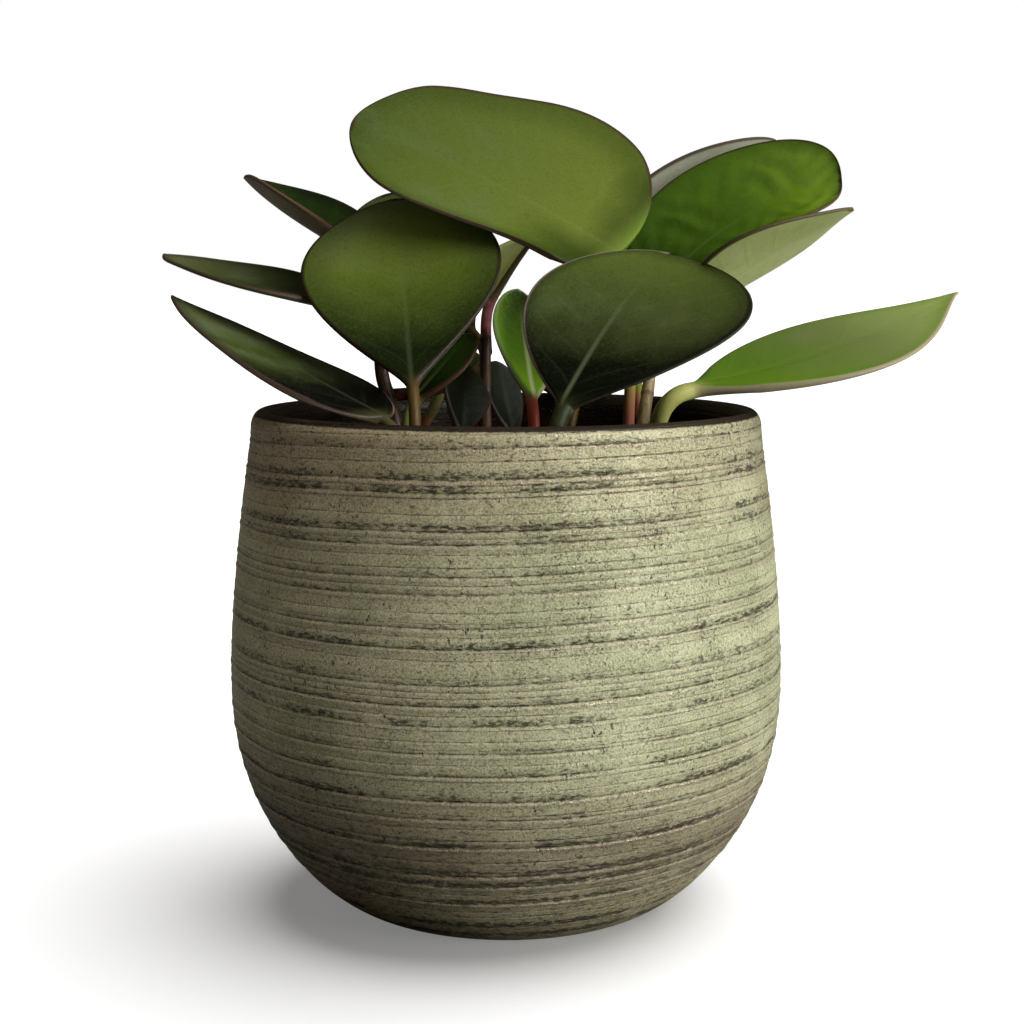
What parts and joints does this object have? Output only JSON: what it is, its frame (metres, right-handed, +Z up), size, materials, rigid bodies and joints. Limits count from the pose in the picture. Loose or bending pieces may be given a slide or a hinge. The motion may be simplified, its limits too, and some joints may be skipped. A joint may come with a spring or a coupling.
{
  "type": "potted peperomia",
  "caption": "Bushy blunt-leaved peperomia, fleshy green leaves with thin red margins, in a plastic grow pot inside a ribbed sage-green glazed cover pot.",
  "frame": {"origin": "middle of the flat foot of the cover pot, on the surface it stands on", "axes": "+Z up along the pot's axis, -Y towards the front of the plant, +X to the right seen from the front"},
  "size_m": [0.2362, 0.1852, 0.2383],
  "materials": {
    "pot_glaze": "satin",
    "grow_pot_plastic": "matte",
    "potting_mix": "matte",
    "stem_brown": "satin",
    "stem_tan": "satin",
    "leaf_green": "satin",
    "leaf_dark": "satin",
    "leaf_pale": "satin"
  },
  "bodies": {
    "root": {"pot": "pot_glaze", "grow_pot": "grow_pot_plastic", "soil": "potting_mix", "stem_back": "stem_brown", "stem_centre": "stem_brown", "stem_front": "stem_brown", "stem_left": "stem_brown", "stem_right": "stem_tan", "leaf_back_low": "leaf_dark", "leaf_back_low_left": "leaf_dark", "leaf_back_right": "leaf_green", "leaf_crown": "leaf_green", "leaf_front_left": "leaf_dark", "leaf_front_right": "leaf_dark", "leaf_inner_centre": "leaf_pale", "leaf_inner_left": "leaf_dark", "leaf_low_left": "leaf_green", "leaf_low_right": "leaf_green", "leaf_middle_left": "leaf_green", "leaf_middle_right": "leaf_pale", "leaf_upper_back_right": "leaf_pale", "leaf_upper_left": "leaf_green", "leaf_upper_right": "leaf_green", "leaf_young_bright": "leaf_green", "leaf_young_centre": "leaf_dark", "leaf_young_dark": "leaf_dark", "leaf_young_left": "leaf_dark"}
  },
  "joints": []
}
